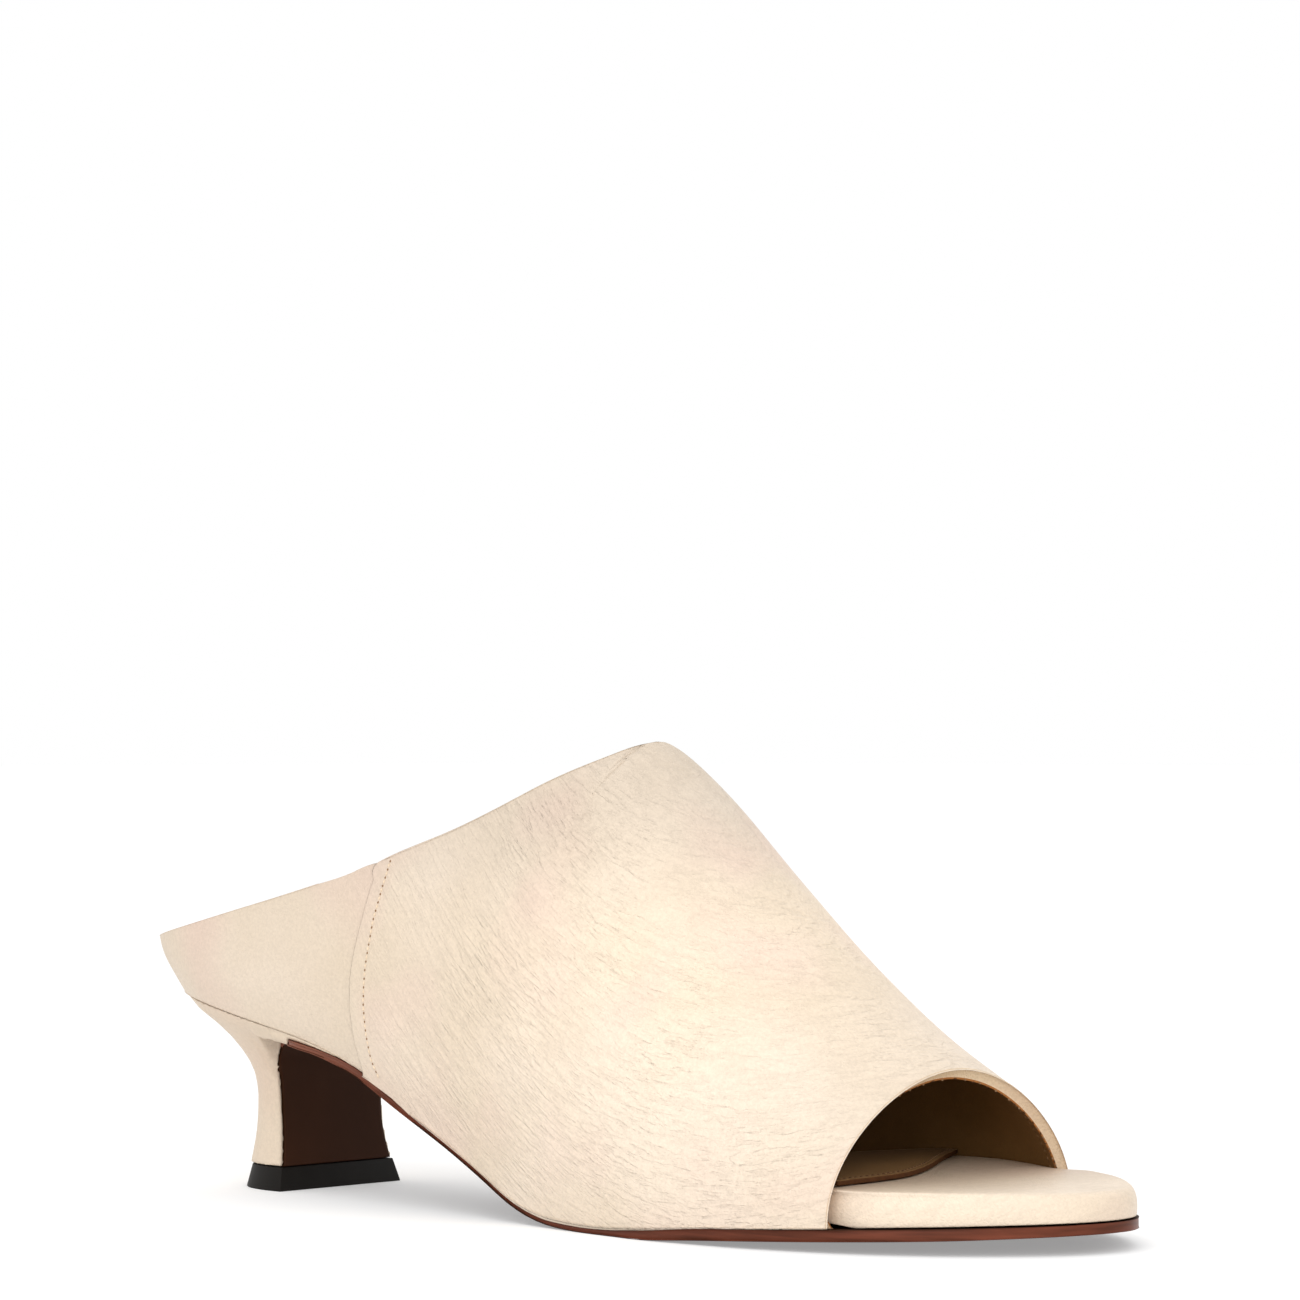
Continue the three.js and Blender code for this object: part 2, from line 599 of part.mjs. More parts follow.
// Covered heel: a D-shaped column that opens into the plan of the sole at the seat, and a lip that
// runs on under the feather line. The outsole's tail is let into its breast
function heelShape() {
  const count = 24;
  const frontTop = heelFrontX + breastProud;
  const rings = span(14).map((share) => {
    const width = heelWidth * heelCurve.width(share);
    const depth = heelDepth * heelCurve.depth(share) - breastProud;
    const front = breastX(share) - breastProud;
    const seat = heelCurve.seat(share);
    const ring = heelRing(width, depth, front, 0, count);
    return ring.map((point, i) => {
      const turn = Math.PI * (i / count - 0.5);
      const x = frontTop * (1 - Math.cos(turn));
      const side = turn < 0 ? 1 : -1;
      const y = edgeY(Math.max(x, 0), side);
      const z = mix(liftThickness + clearance, heelTopZ(mix(point.x, x, seat)), share);
      return new THREE.Vector3(mix(point.x, x, seat), mix(point.y, y, seat), z);
    });
  });
  const across = span(8);
  const lipRow = (x, depth, tuck) => across.map((t) => {
    const y = mix(edgeY(x, -1) + tuck, edgeY(x, 1) - tuck, t);
    return new THREE.Vector3(x, y, heelTopZ(x) - depth);
  });
  const lipShares = span(12);
  const lipX = lipShares.map((t) => mix(frontTop - clearance, heelLipEndX - clearance, t));
  const lipUnder = lipShares.map((t, i) => lipRow(lipX[i], heelLipDepth, heelLipTuck * (1 - t)));
  const lipOver = lipX.map((x) => lipRow(x, 0, 0));
  const column = stack(rings).manifold();
  const lip = slab(lipUnder, lipOver).manifold();
  const tail = outsoleShape(clearance).manifold();
  const path = outsolePath().filter((point) => point.x < heelLipEndX + breastTurn);
  const wide = (x, z) => [-ballWidth, ballWidth].map((y) => new THREE.Vector3(x, y, z));
  const below = path.map(() => wide(heelLipEndX + breastTurn, 0));
  const hollow = slab(below, path.map((point) => wide(point.x, point.y))).manifold();
  return column.add(lip).subtract(tail).subtract(hollow);
}

// Top lift: black rubber under the heel, wider at the floor
function liftShape() {
  const ring = (inset, z) => heelRing(
    liftWidth - 2 * inset,
    liftDepth - (1 + liftFrontFlare) * inset,
    liftFrontX - liftFrontFlare * inset,
    z,
    24,
  );
  return stack([ring(0, 0), ring(liftFlare, liftThickness)]);
}

// Inner bound of what lies inside the upper, and the wider edge of the footbed ahead of it
function footbedInset(x, side) {
  const front = toeOpeningX + (side < 0 ? 0 : toeOpeningSlant);
  const open = THREE.MathUtils.smoothstep(x, front + openingRun / 4, front + openingRun);
  return mix(wall + clearance + footbedSlack, toeMargin, open);
}

function footbedTopZ(x) {
  return featherZ(x) + footbedThickness * footbedCurve(x / soleLength);
}

// Point of the sole's plan moved inward
function insetPoint(x, side, inset) {
  const out = outward(x, side);
  const y = x <= 0 || x >= soleLength ? middleY(x) : edgeY(x, side);
  return new THREE.Vector2(x - out.x * inset, y - out.y * inset);
}

// Footbed: leather-wrapped platform with a rounded top edge
function footbedShape() {
  const xs = roundSpan(56).map((share) => share * soleLength);
  const insets = [0, 0.35, 1];
  const drops = [0.42, 0.12, 0];
  const under = [];
  const over = [];
  xs.forEach((x) => {
    const edge = insets.map((share) => [-1, 1].map((side) => {
      const tip = x <= 0 || x >= soleLength;
      const depth = footbedInset(x, side) + share * shoulder;
      if (tip) return new THREE.Vector2(x <= 0 ? depth : soleLength - depth, middleY(x));
      return insetPoint(x, side, depth);
    }));
    const at = (pair, t) => new THREE.Vector2(mix(pair[0].x, pair[1].x, t), mix(pair[0].y, pair[1].y, t));
    const plan = [
      edge[0][0], edge[1][0], edge[2][0],
      at(edge[2], 0.25), at(edge[2], 0.5), at(edge[2], 0.75),
      edge[2][1], edge[1][1], edge[0][1],
    ];
    const drop = [drops[0], drops[1], 0, 0, 0, 0, 0, drops[1], drops[0]];
    under.push(plan.map((point) => new THREE.Vector3(point.x, point.y, featherZ(point.x))));
    over.push(plan.map((point, j) => {
      const height = footbedTopZ(point.x) - featherZ(point.x);
      return new THREE.Vector3(point.x, point.y, featherZ(point.x) + height * (1 - drop[j]));
    }));
  });
  return slab(under, over);
}

// Sock lining: thin leather on the footbed, cut in a curve just behind the toe opening
function sockShape() {
  const reach = curve(sockFrontRows, 'reach');
  const across = span(8);
  const margin = wall + clearance + footbedSlack + shoulder;
  const under = [];
  const over = [];
  roundSpan(44).forEach((share) => {
    const row = across.map((t) => {
      const x = mix(margin, toeOpeningX * reach(t), share);
      const edges = [-1, 1].map((side) => edgeY(x, side) - side * margin);
      const start = share === 0 ? 0 : mix(edges[0], edges[1], t);
      return new THREE.Vector3(x, start, footbedTopZ(x) + clearance);
    });
    under.push(row);
    over.push(row.map((point) => point.clone().setZ(point.z + sockThickness)));
  });
  return slab(under, over);
}

const group = new THREE.Group();

function piece(name, geometry, color, roughness) {
  const material = new THREE.MeshStandardMaterial({ color, roughness, metalness: 0 });
  const mesh = new THREE.Mesh(geometry, material);
  mesh.name = name;
  group.add(mesh);
}

piece('outsole', outsoleShape(0).geometry(), '#5b3327', 0.45);
piece('heel', geometryOf(heelShape()), '#e9d2bd', 0.55);
piece('top_lift', liftShape().geometry(), '#1d1a17', 0.6);
piece('footbed', footbedShape().geometry(), '#ecd6c0', 0.55);
piece('sock_lining', sockShape().geometry(), '#b3906a', 0.6);
piece('upper', upperShape().geometry(), '#efdcc6', 0.5);

// The whole shoe stands on the floor with its bounding box centred over the origin
const bounds = new THREE.Box3().setFromObject(group);
const centre = bounds.getCenter(new THREE.Vector3());
group.position.set(-centre.x, -centre.y, -bounds.min.z);
group.updateMatrixWorld(true);

export default group;
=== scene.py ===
import math
import bpy
import bmesh
from mathutils import Matrix, Vector, noise
from mathutils.bvhtree import BVHTree


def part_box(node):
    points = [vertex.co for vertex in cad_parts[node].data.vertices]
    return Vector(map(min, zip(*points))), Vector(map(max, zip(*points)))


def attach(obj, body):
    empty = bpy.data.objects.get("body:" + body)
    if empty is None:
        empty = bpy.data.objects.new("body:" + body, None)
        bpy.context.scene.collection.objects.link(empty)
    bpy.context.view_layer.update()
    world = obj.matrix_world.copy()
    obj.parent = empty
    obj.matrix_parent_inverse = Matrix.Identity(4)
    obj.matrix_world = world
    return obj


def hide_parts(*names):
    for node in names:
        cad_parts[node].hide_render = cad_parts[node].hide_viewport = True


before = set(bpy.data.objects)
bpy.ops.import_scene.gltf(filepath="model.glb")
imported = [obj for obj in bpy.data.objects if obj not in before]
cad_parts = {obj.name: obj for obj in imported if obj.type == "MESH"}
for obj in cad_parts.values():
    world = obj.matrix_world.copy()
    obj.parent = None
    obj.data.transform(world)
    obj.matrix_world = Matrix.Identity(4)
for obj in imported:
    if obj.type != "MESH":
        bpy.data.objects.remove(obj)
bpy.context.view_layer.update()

# Camera: level with the shoe, ahead of its outer side, a long lens from 1.2 m away.
# Sizes of the shoe are in millimetres: along from the back of its sole, across towards the inner
# side of the foot, and up from the floor.
SOLE_LENGTH = 243.0
MIDDLE = Vector((SOLE_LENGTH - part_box("outsole")[1].x * 1000, 1.28, 0))


def spot(x, y, z):
    """A point of the shoe, in metres in the frame's own axes."""
    return (Vector((x, y, z)) - MIDDLE) / 1000


def place(x, y, z):
    """The same the other way: millimetres along, across and above the shoe's sole."""
    return Vector((x, y, z)) * 1000 + MIDDLE


SIDE_ANGLE = math.radians(43.5)
DOWN_ANGLE = math.radians(3.7)
DISTANCE = 1200.0
AIM = (120, 0, 40)
PHOTO_SIZE = 1300
FOCAL_PIXELS = 5940.0
AIM_RIGHT = 620.9 - PHOTO_SIZE / 2  # where the aim lies in the photo, from its middle
AIM_DOWN = 1013.8 - PHOTO_SIZE / 2
back = Vector((
    math.sin(SIDE_ANGLE) * math.cos(DOWN_ANGLE),
    -math.cos(SIDE_ANGLE) * math.cos(DOWN_ANGLE),
    math.sin(DOWN_ANGLE),
))
right = (-back).cross(Vector((0, 0, 1))).normalized()
up = right.cross(-back)
tilt = math.atan(AIM_DOWN / FOCAL_PIXELS)
pan = math.atan(AIM_RIGHT / FOCAL_PIXELS)
look = -back * math.cos(tilt) + up * math.sin(tilt)
top = up * math.cos(tilt) + back * math.sin(tilt)
view = look * math.cos(pan) - right * math.sin(pan)
side = right * math.cos(pan) + look * math.sin(pan)
turn = Matrix((side, top, -view)).transposed().to_4x4()
lens = bpy.data.cameras.new("camera")
lens.sensor_width = 36
lens.lens = FOCAL_PIXELS / PHOTO_SIZE * lens.sensor_width
lens.clip_end = 50
camera = bpy.data.objects.new("camera", lens)
eye = Vector(AIM) + back * DISTANCE
camera.matrix_world = Matrix.Translation(spot(*eye)) @ turn
bpy.context.collection.objects.link(camera)
bpy.context.scene.camera = camera


# Upper: vamp and quarter of soft tumbled nappa with a leather lining, turned in at the collar, skived
# at the toe opening, lapped and stitched at the side, and pulled over the last. Its main folds lie
# where the leather gives way between the instep and the toe opening.
EDGE_ROUNDING = 0.45
LAP_ROUNDING = 0.12
LAP_START, LAP_END = 64, 86
RAW_EDGE = 0.18
SKIVING = 1.6
SEAM_PULL = 0.14
LINING_ANGLE = math.radians(35)  # the lining ends where its faces turn by more than this
# where the painted highlight on the upper is brightest
HIGHLIGHT_CROWN = spot(152, 24.58, 48)
# Height and distance along the shoe of the stitches of the lap seam
SEAM = (
    (28.2, 79.0), (30.2, 78.1), (36.3, 77.3), (42.3, 77.0),
    (49.2, 77.1), (58.5, 77.9), (65.4, 79.4), (72, 81.2),
)
# Main folds over the outside: start along and up, end along and up, half width, depth
FOLDS = (
    (118, 86, 128, 80, 1.8, 0.25),
    (104, 74, 124, 58, 2.6, 0.35),
    (98, 66, 118, 51, 2.4, 0.3),
    (112, 76, 136, 59, 2.8, 0.4),
    (126, 76, 144, 61, 2.6, 0.3),
    (120, 58, 146, 44, 3.0, 0.35),
    (134, 56, 158, 43, 2.6, 0.3),
    (106, 50, 130, 37, 3.0, 0.25),
    (150, 40, 178, 31, 3.0, 0.3),
    (148, 30, 186, 23, 3.2, 0.3),
    (162, 22, 192, 17, 2.8, 0.2),
    (120, 36, 150, 26, 3.2, 0.2),
)


def linear(colour):
    """sRGB hex to linear colour with alpha."""
    parts = [int(colour[i:i + 2], 16) / 255 for i in (1, 3, 5)]
    return tuple(c / 12.92 if c <= 0.04045 else ((c + 0.055) / 1.055) ** 2.4 for c in parts) + (1.0,)


def node(tree, kind, links=(), **settings):
    """Adds a node. Settings name its properties or sockets, links are (socket, source) pairs."""
    made = tree.nodes.new("ShaderNode" + kind)
    for name in sorted(settings, key=lambda name: not hasattr(made, name)):
        if hasattr(made, name):
            setattr(made, name, settings[name])
        else:
            made.inputs[name.replace("_", " ")].default_value = settings[name]
    for socket, source in links:
        tree.links.new(source, made.inputs[socket])
    return made


def finish_of(name, **sockets):
    """A new material with its Principled shader and the piece's own coordinates."""
    material = bpy.data.materials.new(name)
    material.use_nodes = True
    tree = material.node_tree
    shader = tree.nodes["Principled BSDF"]
    for key, value in sockets.items():
        shader.inputs[key.replace("_", " ")].default_value = value
    return material, tree, shader, node(tree, "TexCoord").outputs["Object"]


def clouded(tree, shader, coords, size, detail, dark, light):
    """Colours a finish in clouds of that size in millimetres, from dark to light, and gives the clouds."""
    clouds = node(tree, "TexNoise", [("Vector", coords)], Scale=1000 / size, Detail=detail).outputs["Fac"]
    tones = node(tree, "ValToRGB", [("Fac", clouds)])
    tones.color_ramp.elements[0].color = linear(dark)
    tones.color_ramp.elements[1].color = linear(light)
    tree.links.new(tones.outputs[0], shader.inputs["Base Color"])
    return clouds


def embossed(tree, shader, height, depth):
    """Presses a height pattern that many millimetres into a finish."""
    relief = node(tree, "Bump", [("Height", height)], Distance=depth / 1000)
    tree.links.new(relief.outputs[0], shader.inputs["Normal"])


def shape_of(name, flat=25):
    """A CAD node as a bmesh of its own: doubles merged, triangles that meet nearly flat joined."""
    shape = bmesh.new()
    shape.from_mesh(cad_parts[name].data)
    bmesh.ops.remove_doubles(shape, verts=shape.verts, dist=2e-6)
    bmesh.ops.join_triangles(
        shape, faces=shape.faces,
        angle_face_threshold=math.radians(flat), angle_shape_threshold=math.radians(75),
    )
    for face in shape.faces:
        face.smooth = True
        face.material_index = 0
    return shape


def rounded(shape, edges, offset, rounds=2):
    """Rounds some edges by that many millimetres and gives the new faces."""
    made = bmesh.ops.bevel(
        shape, geom=edges, offset=offset / 1000, affect="EDGES", segments=rounds, profile=0.5,
        material=-1, clamp_overlap=True,
    )
    for face in made["faces"]:
        face.smooth = True
    return made["faces"]


def sharp_edges(shape, limit):
    """The edges of a closed shape that turn by more than that many degrees."""
    return [e for e in shape.edges if e.is_manifold and e.calc_face_angle() > math.radians(limit)]


def share(value, start, end):
    """How far a value has come from start to end, from 0 to 1."""
    return min(max((value - start) / (end - start), 0), 1)


def object_of(shape, name, materials, finer=0):
    """Makes an object of the shape, its surface finer by that many levels of subdivision."""
    # bevel leaves the faces in another order each run, so they are put in the order of their corners
    shape.verts.index_update()
    ordered = sorted(shape.faces, key=lambda face: sorted(vertex.index for vertex in face.verts))
    rank = {face: number for number, face in enumerate(ordered)}
    shape.faces.sort(key=rank.get)
    mesh = bpy.data.meshes.new(name)
    shape.to_mesh(mesh)
    shape.free()
    for material in materials:
        mesh.materials.append(material)
    piece = bpy.data.objects.new(name, mesh)
    bpy.context.collection.objects.link(piece)
    if finer:
        division = piece.modifiers.new("finer", "SUBSURF")
        division.levels = division.render_levels = finer
        hold_corners(piece)
        settle(piece)
    return piece


def hold_corners(piece):
    """Moves the control points out where subdivision would shrink a corner, and leaves the rest smooth."""
    wanted = [vertex.co.copy() for vertex in piece.data.vertices]
    for _ in range(3):
        bpy.context.view_layer.update()
        smoothed = piece.evaluated_get(bpy.context.evaluated_depsgraph_get()).data
        for index, vertex in enumerate(piece.data.vertices):
            missing = wanted[index] - smoothed.vertices[index].co
            # a point may shrink by 0.08 mm, and is held fully from 0.33 mm
            vertex.co += missing * share(missing.length * 1000, 0.08, 0.33)
        piece.data.update()


def settle(piece):
    """Applies the modifiers of a piece to its mesh."""
    bpy.context.view_layer.update()
    depsgraph = bpy.context.evaluated_depsgraph_get()
    done = bpy.data.meshes.new_from_object(
        piece.evaluated_get(depsgraph), preserve_all_data_layers=True, depsgraph=depsgraph,
    )
    piece.modifiers.clear()
    piece.data = done


def grain_of(tree, coords, size):
    """Pebble height of leather grain, with cells of that size in millimetres."""
    wander = node(tree, "TexNoise", [("Vector", coords)], Scale=1000 / (size * 4), Detail=2.0)
    bent = node(tree, "VectorMath", [(0, wander.outputs["Color"]), (2, coords)], operation="MULTIPLY_ADD")
    bent.inputs[1].default_value = (size / 1500,) * 3
    cells = node(
        tree, "TexVoronoi", [("Vector", bent.outputs[0])], feature="DISTANCE_TO_EDGE", Scale=1000 / size,
    )
    return node(tree, "MapRange", [(0, cells.outputs["Distance"])], From_Max=0.3).outputs[0]


def nappa(name, light, warm, pink, grain, crease, rough=0.5):
    """Tumbled nappa, with pebbles and creases of those depths in millimetres. It gives the eye a satin,
    slightly uneven cream, with blotches of tone, fine pebbles and thin creases that run forward."""
    BLOTCH, FLUSH, PATCH, PEBBLE, PORE = 38.5, 26.3, 23.8, 0.75, 0.714
    material, tree, shader, coords = finish_of(name, IOR=1.45, Specular_IOR_Level=0.55)
    blotch = node(tree, "TexNoise", [("Vector", coords)], Scale=1000 / BLOTCH, Detail=2.0, Roughness=0.45)
    tone = node(tree, "ValToRGB", [("Fac", blotch.outputs["Fac"])])
    tone.color_ramp.elements[0].position = 0.36
    tone.color_ramp.elements[0].color = linear(warm)
    tone.color_ramp.elements[1].position = 0.64
    tone.color_ramp.elements[1].color = linear(light)
    flush = node(
        tree, "TexNoise", [("Vector", coords)], Scale=1000 / FLUSH, Detail=1.0, W=3.0, noise_dimensions="4D",
    )
    much = node(tree, "MapRange", [(0, flush.outputs["Fac"])], From_Min=0.48, From_Max=0.72, To_Max=0.75)
    mixed = node(tree, "Mix", [(0, much.outputs[0]), (6, tone.outputs[0])], data_type="RGBA")
    mixed.inputs[7].default_value = linear(pink)

    # Crease lines hold their direction: steep under the collar, nearly level at the toe opening.
    # They fall by 0.87 at 105 mm along the shoe, and by less the further ahead they run.
    apart = node(tree, "SeparateXYZ", [(0, coords)])
    ahead = node(tree, "Math", [(0, apart.outputs[0])], operation="ADD")
    ahead.inputs[1].default_value = (MIDDLE.x - 105) / 1000
    fall = node(tree, "Math", [(0, ahead.outputs[0]), (2, apart.outputs[2])], operation="MULTIPLY_ADD")
    fall.inputs[1].default_value = 0.87
    curved = node(tree, "Math", [(0, ahead.outputs[0]), (1, ahead.outputs[0])], operation="MULTIPLY")
    across = node(tree, "Math", [(0, curved.outputs[0]), (2, fall.outputs[0])], operation="MULTIPLY_ADD")
    across.inputs[1].default_value = -5.9
    along = node(tree, "CombineXYZ", [
        (0, apart.outputs[0]), (1, apart.outputs[1]), (2, across.outputs[0]),
    ])
    lines = []
    for spacing, length, seed in ((1.6, 12.0, 0.0), (0.9, 7.0, 5.0)):
        stretched = node(tree, "Mapping", [("Vector", along.outputs[0])])
        stretched.inputs["Scale"].default_value = (1000 / length, 1000 / length, 1000 / (spacing * 2))
        stretched.inputs["Location"].default_value = (seed, seed, seed)
        wave = node(
            tree, "TexNoise", [("Vector", stretched.outputs[0])], Scale=1.0, Detail=3.0, Roughness=0.55,
            Distortion=0.15,
        )
        away = node(tree, "Math", [(0, wave.outputs["Fac"])], operation="SUBTRACT")
        away.inputs[1].default_value = 0.5
        size = node(tree, "Math", [(0, away.outputs[0])], operation="ABSOLUTE")
        lines.append(node(tree, "MapRange", [(0, size.outputs[0])], From_Max=0.08).outputs[0])
    both = node(tree, "Math", [(0, lines[0]), (1, lines[1])], operation="ADD")
    where = node(tree, "TexNoise", [("Vector", coords)], Scale=1000 / PATCH, Detail=1.0)
    patchy = node(tree, "MapRange", [(0, where.outputs["Fac"])], From_Min=0.38, From_Max=0.62, To_Min=0.5)
    # The quarter behind the seam stays smooth
    ahead_of_seam = node(
        tree, "MapRange", [(0, apart.outputs[0])], From_Min=-0.05, From_Max=-0.012, To_Min=0.12,
    )
    strength = node(tree, "Math", [(0, patchy.outputs[0]), (1, ahead_of_seam.outputs[0])], operation="MULTIPLY")
    creased = node(tree, "Math", [(0, both.outputs[0]), (1, strength.outputs[0])], operation="MULTIPLY")

    # Creases and pebbles are drawn a little deeper than they are, so they just show from 1.2 m
    first = node(tree, "Bump", [("Height", creased.outputs[0])], Strength=1.0, Distance=crease / 1000)
    second = node(
        tree, "Bump", [("Height", grain_of(tree, coords, PEBBLE)), ("Normal", first.outputs[0])],
        Strength=1.0, Distance=grain / 1000,
    )
    tree.links.new(second.outputs[0], shader.inputs["Normal"])
    # Wax and finish wear thin in the creases, which look a little duller
    duller = node(tree, "MapRange", [(0, creased.outputs[0])], From_Max=1.6, To_Min=rough + 0.06, To_Max=rough)
    tree.links.new(duller.outputs[0], shader.inputs["Roughness"])
    # Dye sits a little deeper between the pebbles
    mottle = node(tree, "TexNoise", [("Vector", coords)], Scale=1000 / PORE, Detail=1.0)
    dye = node(
        tree, "MapRange", [(0, mottle.outputs["Fac"])], From_Min=0.35, From_Max=0.65, To_Min=0.95, To_Max=1.02,
    )
    # Creases are painted up to 7.5% darker: painted shade in them
    painted_crease_shade = node(tree, "MapRange", [(0, creased.outputs[0])], From_Max=1.2, To_Min=0.925, To_Max=1.0)
    depth = node(tree, "Math", [(0, dye.outputs[0]), (1, painted_crease_shade.outputs[0])], operation="MULTIPLY")
    dye_and_crease_shade = node(
        tree, "Mix", [(6, mixed.outputs[2]), (7, depth.outputs[0])], data_type="RGBA", blend_type="MULTIPLY",
    )
    dye_and_crease_shade.inputs[0].default_value = 1.0 if crease else 0.9
    # Painted highlight: the colour is made palest over the crown of the vamp, on both sides
    width = node(tree, "Math", [(0, apart.outputs[1])], operation="ABSOLUTE")
    folded_over = node(tree, "CombineXYZ", [
        (0, apart.outputs[0]), (1, width.outputs[0]), (2, apart.outputs[2]),
    ])
    reach = node(tree, "VectorMath", [(0, folded_over.outputs[0])], operation="DISTANCE")
    reach.inputs[1].default_value = HIGHLIGHT_CROWN
    crown_highlight = node(
        tree, "MapRange", [(0, reach.outputs["Value"])], interpolation_type="SMOOTHSTEP",
        From_Min=0.008, From_Max=0.058, To_Min=1.04, To_Max=0.93,
    )
    # and painted shade: greyest along the collar's peak
    collar_shade = node(
        tree, "MapRange", [(0, apart.outputs[2])], interpolation_type="SMOOTHSTEP",
        From_Min=0.056, From_Max=0.084, To_Min=1.0, To_Max=0.84,
    )
    painted_light = node(tree, "Math", [(0, crown_highlight.outputs[0]), (1, collar_shade.outputs[0])], operation="MULTIPLY")
    lit_and_shaded_colour = node(
        tree, "Mix", [(6, dye_and_crease_shade.outputs[2]), (7, painted_light.outputs[0])], data_type="RGBA", blend_type="MULTIPLY",
    )
    # the painted highlight and painted shade go only on the creased cream of the upper
    lit_and_shaded_colour.inputs[0].default_value = 1.0 if crease else 0.0
    tree.links.new(lit_and_shaded_colour.outputs[2], shader.inputs["Base Color"])
    return material


cream = nappa("tumbled_nappa_bone", "#e6d5c1", "#dfcdb6", "#e3c9b8", 0.05, 0.13)
# Calf lining, smooth and matt, a warm tan painted darker than the leather is, as painted shade inside the shoe;
# it darkens further in the depth of the shoe
lining, tree, shader, coords = finish_of("smooth_lining_leather_tan", Roughness=0.6, Specular_IOR_Level=0.2)
clouded(tree, shader, coords, 16.7, 3.0, "#63431f", "#7d5a30")
embossed(tree, shader, grain_of(tree, coords, 0.6), 0.03)
# Cut leather fibre, rough and dull, a thin orange-brown line
raw, tree, shader, coords = finish_of("raw_leather_edge_orange_brown", Roughness=0.8, Specular_IOR_Level=0.2)
clouded(tree, shader, coords, 1.43, 2.0, "#8a5326", "#a8703c")
# The turned edge at the toe opening is a darker copy of the cream: painted shade on the band
shaded_turned_edge = nappa("nappa_turned_edge_painted_shade", "#d6bf9f", "#cbb190", "#d2b59a", 0.07, 0.0, rough=0.6)

# The lining is all that a point under the instep sees, as far as the first sharp edge
shape = shape_of("upper", 55)
shape.faces.ensure_lookup_table()
start = BVHTree.FromBMesh(shape).ray_cast(spot(150, 2, 20), Vector((0, 0, 1)))[2]
inside = {shape.faces[start]}
ahead = list(inside)
while ahead:
    for edge in ahead.pop().edges:
        if edge.is_manifold and edge.calc_face_angle() < LINING_ANGLE:
            for face in edge.link_faces:
                if face not in inside:
                    inside.add(face)
                    ahead.append(face)
for face in inside:
    face.material_index = 1

# At the toe opening the lining is skived back, most on the near side, and shows a raw edge
rim = [
    edge for edge in shape.edges
    if edge.is_manifold and sum(face in inside for face in edge.link_faces) == 1
    and place(*edge.verts[0].co).x > 165
    and max(face.normal.x for face in edge.link_faces) > 0.5
]
slides = {}
rim_row = []
for corner in {vertex for edge in rim for vertex in edge.verts}:
    ways = [
        edge.other_vert(corner).co - corner.co for edge in corner.link_edges
        if edge not in rim and all(face in inside for face in edge.link_faces)
    ]
    if ways:
        way = min(ways, key=lambda step: step.normalized().x)
        near = max(share(place(*corner.co).y, 14, -14), 0.1)
        slides[corner] = way * min(SKIVING * near / 1000 / way.length, 0.6)
        rim_row.append(corner.co + slides[corner] + way.normalized() * 0.0018)
for corner, step in slides.items():
    corner.co += step
# the end faces at the toe opening get that darker copy, painted shade
for edge in rim:
    for face in edge.link_faces:
        if face not in inside:
            face.material_index = 3
for face in rounded(shape, rim, RAW_EDGE, 1):
    face.material_index = 2
turned = sharp_edges(shape, 60)
lap = [edge for edge in turned if LAP_START < place(*edge.verts[0].co).x < LAP_END]
rounded(shape, [edge for edge in turned if edge not in lap], EDGE_ROUNDING)
rounded(shape, [edge for edge in lap if edge.is_valid], LAP_ROUNDING, 1)
upper = object_of(shape, "upper_leather", (cream, lining, raw, shaded_turned_edge), finer=2)


def seam_at(z):
    """How far along the shoe the stitches of the lap seam run at that height."""
    for (z0, x0), (z1, x1) in zip(SEAM, SEAM[1:]):
        if z <= z1 or z1 == SEAM[-1][0]:
            return x0 + (x1 - x0) * (z - z0) / (z1 - z0)


def folded(at):
    """How far the leather is pressed in at a point of the outside, in millimetres."""
    depth = 0.0
    drift = noise.noise(at / 9) * 2.2
    for x0, z0, x1, z1, width, deep in FOLDS:
        run = Vector((x1 - x0, z1 - z0))
        gone = (Vector((at.x - x0, at.z - z0)) @ run) / run.length_squared
        if gone < -0.15 or gone > 1.15:
            continue
        off = Vector((at.x - x0, at.z - z0 + drift)) - run * gone
        away = math.copysign(off.length, off.y) / width
        fade = max(0.0, math.sin(math.pi * share(gone, -0.15, 1.15))) ** 0.7
        # a soft trough with a low ridge on each side
        depth += deep * fade * (1 - 1.3 * away * away) * math.exp(-away * away)
    return depth


outwards = [vertex.normal.copy() for vertex in upper.data.vertices]
for vertex, outward in zip(upper.data.vertices, outwards):
    at = place(*vertex.co)
    if 66 < at.x < 90 and abs(at.y) > 8:
        # the thread pulls the leather in along the seam
        vertex.co -= outward * (SEAM_PULL * math.exp(-((at.x - seam_at(at.z)) / 1.0) ** 2) / 1000)
    if at.x < 92 or at.x > 198 or outward.z < -0.35:
        continue
    # on the inner side the folds lie 6 mm lower and are weaker
    press = folded(at) if at.y < 6 else 0.6 * folded(Vector((at.x, at.y, at.z + 6)))
    vertex.co -= outward * (press / 1000)
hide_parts("upper")
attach(upper, "root")


# Footbed: padded insole wrapped in the same leather, its edge rounded over the board inside. Its top is
# painted darker behind the toe opening, as painted shade under the upper, and its near bottom corner is lifted
# a little at the toe opening.
WRAP_ROUNDING = 0.5
CORNER_AT = 198
CORNER_LIFT = 1.2
footbed_leather = nappa("nappa_over_padding_bone", "#e2d0ba", "#d8c5ae", "#ddc6b3", 0.055, 0.0, rough=0.4)
shape = shape_of("footbed")
near_end = [vertex for vertex in shape.verts if 190 < place(*vertex.co).x < 208 and place(*vertex.co).y < -12]
for vertex in near_end:
    beside = [other.co.z for other in near_end if abs(other.co.x - vertex.co.x) < 0.004]
    if vertex.co.z < min(beside) + 0.001:
        vertex.co.z += CORNER_LIFT / 1000 * max(0, 1 - abs(place(*vertex.co).x - CORNER_AT) / 8)
